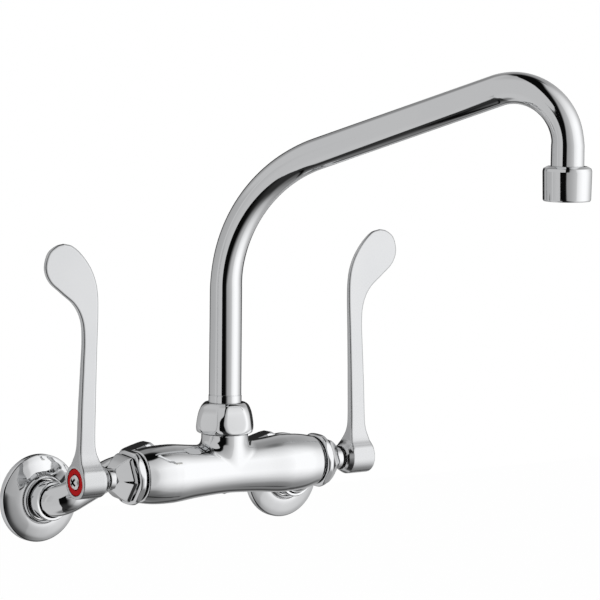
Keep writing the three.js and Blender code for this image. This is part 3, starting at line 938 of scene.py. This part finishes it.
# ---- supply arms, unions and wall flanges ----
ARM_R = 9.3  # at the wall end; it tapers towards the union nut
ARM_TAPER = 1.0
ARM_BORE_R = 5.6
ARM_SIDES = 64
UNION_APOTHEM = 14.29
UNION_CORNER = math.radians(75)  # one corner of the hexagon
NUT_FRONT = -47.9
NUT_REAR = -37.2


def make_arm(name, side):
    """The offset arm: a bent tube from the wall shank to the flanged end in its union nut."""
    inlet, nipple = side * INLET_HALF_SPACING, side * NIPPLE_HALF_SPACING
    path = bent_path([(inlet, -8.3, 0), (inlet, -24.2, 0), (nipple, -24.6, BARREL_AXIS[2]),
                      (nipple, NUT_REAR + 0.3, BARREL_AXIS[2])], [9.6, 12.5], math.radians(4))
    along = np.cumsum([0, *np.linalg.norm(np.diff(path, axis=0), axis=1)])
    radii = ARM_R - ARM_TAPER * along / along[-1]
    outer = swept_rows(path, radii, ARM_SIDES)
    inner = swept_rows(path, radii * 0 + ARM_BORE_R, ARM_SIDES)
    end = outer[-1].mean(0)
    spread = (outer[-1] - end) / radii[-1]
    tail = [end + [0, place - end[1], 0] + spread * radius for radius, place in (
        (7.8, NUT_REAR + 0.2), (7.8, -39.3), (9.7, -39.4), (9.7, -40.7), (ARM_BORE_R, -40.7))]
    made = skin(f"{name}_offset_arm", [*outer, *tail, *inner[::-1]], closed=True)
    dressed(made, f"{name}_arm", f"{name}_supply_arm")


def make_union_nut(name, side):
    """The hexagon nut that draws an arm against its nipple."""
    rows = []
    for height in np.linspace(NUT_FRONT, NUT_REAR, 28):
        from_end = min(height - NUT_FRONT, NUT_REAR - height)
        limit = 14.3 + 2.0 * min(from_end / 1.4, 1) ** 0.6
        rows.append((hexagon(UNION_APOTHEM, UNION_CORNER, limit), height))
    inside = eased([(14.2, NUT_REAR), (8.2, NUT_REAR), (8.2, -38.9), (10.5, -38.9),
                    (10.5, NUT_FRONT)], 0.4, closed=False)
    rows += inside[1:]
    made = skin(f"{name}_coupling_nut", ring_rows(rows, "y", FINE), closed=True)
    placed(made, (side * NIPPLE_HALF_SPACING, 0, BARREL_AXIS[2]))
    dressed(made, "faucet", f"{name}_union_nut")


FLANGE_R = 25.45
FLANGE_HOLE_R = 12.0
FLANGE_INNER_R = 23.6  # the flange is hollow behind, inside this radius


def make_wall_flange(name, side):
    """The round dish against the wall, with a raised lip round its hole."""
    dish = smooth_through([(24.9, -3.75), (22.4, -4.9), (19.0, -6.1), (16.4, -6.9), (14.5, -7.3)],
                          5)
    rim = eased([(FLANGE_INNER_R, 0), (FLANGE_R, 0), (FLANGE_R, -3.2), dish[0]], 0.5, closed=False)
    lip = eased([dish[-1], (14.3, -6.9), (13.8, -6.9), (13.5, -9.6), (12.8, -10.0),
                 (FLANGE_HOLE_R, -9.6), (FLANGE_HOLE_R, -6.6), (13.4, -6.2), (19, -4.7),
                 (FLANGE_INNER_R, -2.6), (FLANGE_INNER_R, 0)], 0.25, closed=False)
    rows = [*rim, *dish[1:-1], *lip[:-1]]
    made = skin(f"{name}_escutcheon", ring_rows(rows, "y", FINE), closed=True)
    placed(made, (side * INLET_HALF_SPACING, 0, 0))
    dressed(made, f"{name}_arm", f"{name}_wall_flange")


THREAD_PITCH = 1.814  # 14 to the inch
THREAD_DEPTH = 0.95
THREAD_R = 10.4
THREAD_START, THREAD_END = 1.6, 13.4
SHANK_BORE_R = 6.6


def make_shank(name, side):
    """The collar in front of the flange and the pipe end behind it, with one helix as thread."""
    sides = 96
    turn = np.arange(sides) / sides
    rows = [(9.7, -8.2), (9.7, -18.0), (10.9, -18.0), (11.4, -17.4), (11.4, -7.4),
            (THREAD_R, -7.0), (THREAD_R, 1.4)]  # the collar
    for place in np.arange(THREAD_START, THREAD_END, THREAD_PITCH / 12):
        phase = (place / THREAD_PITCH - turn) % 1
        crest = np.clip(1.15 - np.abs(phase - 0.5) * 2.3, 0, 1)
        fade = min(1, (place - THREAD_START) / 1.2)
        rows.append((THREAD_R - THREAD_DEPTH * (1 - crest) * fade, place))
    rows += [(9.3, 13.6), (8.9, 14.0), (SHANK_BORE_R, 14.0), (SHANK_BORE_R, -8.2)]
    made = skin(f"{name}_threaded_shank", ring_rows(rows, "y", sides), closed=True)
    placed(made, (side * INLET_HALF_SPACING, 0, 0))
    dressed(made, f"{name}_arm", f"{name}_inlet_shank")


# ---- the object ----
make_barrel()
make_spout_nut()
make_spout()
make_outlet_sleeve()
make_spray_insert()
make_blades()
for end_name, end_side in SIDES.items():
    for make in (make_bonnet, make_marker_ring, make_screw, make_spindle, make_arm,
                 make_union_nut, make_wall_flange, make_shank):
        make(end_name, end_side)

for row in frame["record"]["subparts"]:
    solid = frame["nodes"][row["node"]]
    if not solid.hide_render:
        solid.data.materials.clear()
        solid.data.materials.append(MATERIALS[row["material_slot"]])


# ---- studio ----
VIEW_AZIMUTH = math.radians(36.471)
SIGHT_X, SIGHT_Y = math.sin(VIEW_AZIMUTH), math.cos(VIEW_AZIMUTH)
VIEW_PITCH = math.radians(5.543)
VIEW_ROLL = math.radians(0.617)
VIEW_PLACE = Vector((-1.1549, -1.6990, 0.3104))
VIEW_LENS = 210.0


def make_camera():
    """The photograph's view: a long lens from the front left, a little above the barrel."""
    level = math.cos(VIEW_PITCH)
    ahead = Vector((SIGHT_X * level, SIGHT_Y * level, -math.sin(VIEW_PITCH)))
    right = Vector((SIGHT_Y, -SIGHT_X, 0))
    up = right.cross(ahead)
    rolled_right = right * math.cos(VIEW_ROLL) + up * math.sin(VIEW_ROLL)
    rolled_up = up * math.cos(VIEW_ROLL) - right * math.sin(VIEW_ROLL)
    camera = new_object("photo_camera", bpy.data.cameras.new("photo_camera"))
    camera.data.sensor_width = 36
    camera.data.lens = VIEW_LENS
    camera.data.clip_start, camera.data.clip_end = 0.05, 60
    turn = Matrix((rolled_right, rolled_up, -ahead)).transposed().to_4x4()
    camera.matrix_world = Matrix.Translation(VIEW_PLACE) @ turn
    bpy.context.scene.camera = camera


# The light tent is a ball round the faucet. Its left half is an even grey sheet, and a bright
# screen stands on the right. Between them, towards the camera, runs a black gap that lies furthest
# left at eye level. Turns are in degrees to the right of the side that the photo is taken from,
# and heights are in degrees above eye level.
TENT_CENTRE = (0.0, -0.1, 0.1)
TENT_RADIUS = 0.9
GREY_SHEET = 0.545
LEAST_LIGHT = 0.003
TABLE_GLOW = 0.025
ABOVE_DARKNESS = 0.96
BELOW_DARKNESS = 0.85
DOORWAY_DARKNESS = 0.92
SCREEN_ROUND = [
    (-180, 0.46), (0, 0.32), (14, 0.37), (26, 0.43), (36, 0.5), (47, 0.6), (50, 0.8), (60, 0.96),
    (74, 1.1), (90, 1.1), (100, 1.0), (110, 0.84), (121, 0.64), (136, 0.5), (165, 0.42),
    (180, 0.46),
]
SCREEN_HEIGHT = [
    (-90, 0.22), (-70, 0.24), (-60, 0.34), (-50, 0.5), (-42, 0.68), (-30, 0.9), (-20, 1.0),
    (24, 1.0), (36, 0.86), (48, 0.7), (60, 0.52), (66, 0.44), (70, 0.01), (90, 0.01),
]
SHEET_ROUND = [
    (-180, 0.46), (-155, 0.48), (-130, 0.76), (-78, 0.84), (-73, 1.08), (-66, 0.9), (-45, 1.0),
    (-20, 1.0), (180, 0.46),
]
SHEET_HEIGHT = [(-90, 0.3), (-78, 0.4), (-72, 0.9), (-66, 1.0), (66, 1.0), (78, 0.86), (90, 0.8)]
# How far right of the middle the gap's edges lie at each height, in radii of the ball.
GAP_LEFT = [
    (-90, -0.03), (-72, -0.09), (-66, -0.1), (-58, -0.1), (-50, -0.145), (-40, -0.21),
    (-30, -0.3), (-20, -0.35), (-10, -0.41), (0, -0.45), (7, -0.47), (12, -0.335), (20, -0.13),
    (27, 0.0), (36, 0.02), (60, 0.06), (90, 0.0),
]
GAP_RIGHT = [
    (-90, 0.0), (-78, 0.06), (-70, 0.14), (-60, 0.22), (-50, 0.14), (-40, 0.1), (-20, 0.08),
    (-10, 0.05), (0, 0.0), (8, 0.02), (14, 0.09), (20, 0.15), (30, 0.21), (40, 0.27), (52, 0.29),
    (62, 0.3), (70, 0.34), (90, 0.4),
]


def tent_finish():
    """Emission that varies only with the place on the ball."""
    sheet = Sheet("light_tent")

    def level(places, stops):
        """A curve through the stops."""
        low, high = stops[0][0], stops[-1][0]
        marks = [((place - low) / (high - low), 0.5 + 0.4 * amount) for place, amount in stops]
        share = (places - low) / (high - low)
        return (sheet.add("ValToRGB", {0: share}, stops=marks)[0] - 0.5) / 0.4

    centred = sheet.add("VectorMath", {0: sheet.place(), 1: TENT_CENTRE}, operation="SUBTRACT")[0]
    ray = sheet.add("VectorMath", {0: centred}, operation="NORMALIZE")[0]
    x, y, z = sheet.add("SeparateXYZ", {0: ray})
    near = -SIGHT_X * x - SIGHT_Y * y
    right = SIGHT_Y * x - SIGHT_X * y
    turn = right.math("ARCTAN2", near) * (180 / math.pi)
    height = z.math("ARCSINE") * (180 / math.pi)
    screen = level(turn, SCREEN_ROUND) * level(height, SCREEN_HEIGHT)
    level_band = height.rising(-14, -6) * height.rising(30, 20)
    low_band = level_band.math("MAXIMUM", near.rising(-0.3, -0.6))
    seams = 1 + (level(turn, SHEET_ROUND) - 1) * low_band
    grey_side = level(height, SHEET_HEIGHT) * seams * GREY_SHEET
    left_edge = level(height, GAP_LEFT)
    right_edge = level(height, GAP_RIGHT)
    ramp_width = 0.12 + height.rising(0, -12) * 0.28
    past_gap = ((right - right_edge) / ramp_width).rising(0, 1)
    before_gap = (right - left_edge).rising(0.012, -0.012)
    behind = near.rising(-0.05, -0.3)
    right_half = right.rising(-0.03, 0.03)
    on_screen = past_gap * (1 - behind) + right_half * behind
    on_sheet = before_gap * (1 - behind) + (1 - right_half) * behind
    above_behind = z.rising(0.83, 0.91) * near.rising(-0.09, -0.20) * right.rising(-0.1, 0.05)
    below_behind = z.rising(-0.56, -0.72) * near.rising(-0.50, -0.66)
    lit = ((on_sheet * grey_side + on_screen * screen)
           * (1 - above_behind * ABOVE_DARKNESS) * (1 - below_behind * BELOW_DARKNESS))
    across_table = right * 0.918 + near * 0.397
    table_line = (across_table.rising(0.10, 0.125) * across_table.rising(0.175, 0.145)
                  * height.rising(-57, -63) * right.rising(0.02, 0.08))
    door_top = 12 + right.rising(0.02, -0.06) * 18
    doorway = (near.rising(-0.78, -0.85) * (height - door_top).rising(4, -3)
               * height.rising(-15, -10))
    lit = (lit * (1 - table_line) * (1 - doorway * DOORWAY_DARKNESS) + LEAST_LIGHT
           + height.rising(-22, -50) * (1 - table_line) * TABLE_GLOW)
    colour = sheet.add("CombineColor", {0: lit, 1: lit, 2: lit * 1.006})[0]
    return sheet.ended(sheet.add("Emission", {"Color": colour})[0])


def make_tent():
    """A ball round the object that only its polished metal sees."""
    mesh = bpy.data.meshes.new("light_tent")
    work = bmesh.new()
    bmesh.ops.create_uvsphere(work, u_segments=128, v_segments=64, radius=TENT_RADIUS,
                              matrix=Matrix.Translation(TENT_CENTRE))
    work.to_mesh(mesh)
    work.free()
    mesh.shade_smooth()
    mesh.materials.append(tent_finish())
    tent = new_object("light_tent", mesh)
    tent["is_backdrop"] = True
    for kind in ("camera", "diffuse", "transmission", "shadow", "volume_scatter"):
        setattr(tent, "visible_" + kind, False)


def make_floor():
    """A pale floor far below, since the faucet hangs on a wall."""
    sheet = Sheet("pale_floor")
    paint = sheet.add("BsdfDiffuse", {"Color": grey(0.97)})[0]
    white = sheet.add("Emission")[0]
    seen = sheet.add("LightPath")[0]
    mixed = sheet.add("MixShader", {0: seen * 0.75, 1: paint, 2: white})[0]
    reach, drop = 9.0, -1.7
    corners = [(a * reach, b * reach, drop) for a, b in ((-1, -1), (1, -1), (1, 1), (-1, 1))]
    mesh = new_mesh("floor", corners, [(0, 1, 2, 3)])
    mesh.materials.append(sheet.ended(mixed))
    floor = new_object("floor", mesh)
    floor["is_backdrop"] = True
    floor.visible_glossy = False


def make_world():
    """An even white all round."""
    world = bpy.data.worlds.new("white_studio")
    bpy.context.scene.world = world
    world.use_nodes = True
    world.node_tree.nodes["Background"].inputs["Color"].default_value = grey(1.0)


def make_lamp():
    """One broad soft lamp that shapes the plastic; the metal sees the tent instead."""
    data = bpy.data.lights.new("soft_lamp", "AREA")
    data.energy = 14
    data.size = 1.6
    lamp = new_object("soft_lamp", data)
    lamp.location = (1.6, -2.0, 1.9)
    lamp.rotation_euler = (-lamp.location).to_track_quat("-Z", "Y").to_euler()
    lamp.visible_glossy = False


make_camera()
make_tent()
make_floor()
make_world()
make_lamp()
bpy.context.scene.view_settings.view_transform = "Standard"

boxes = {"cad": CAD_BOX, "visual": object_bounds()}
{key: [list(low), list(high)] for key, (low, high) in boxes.items()}
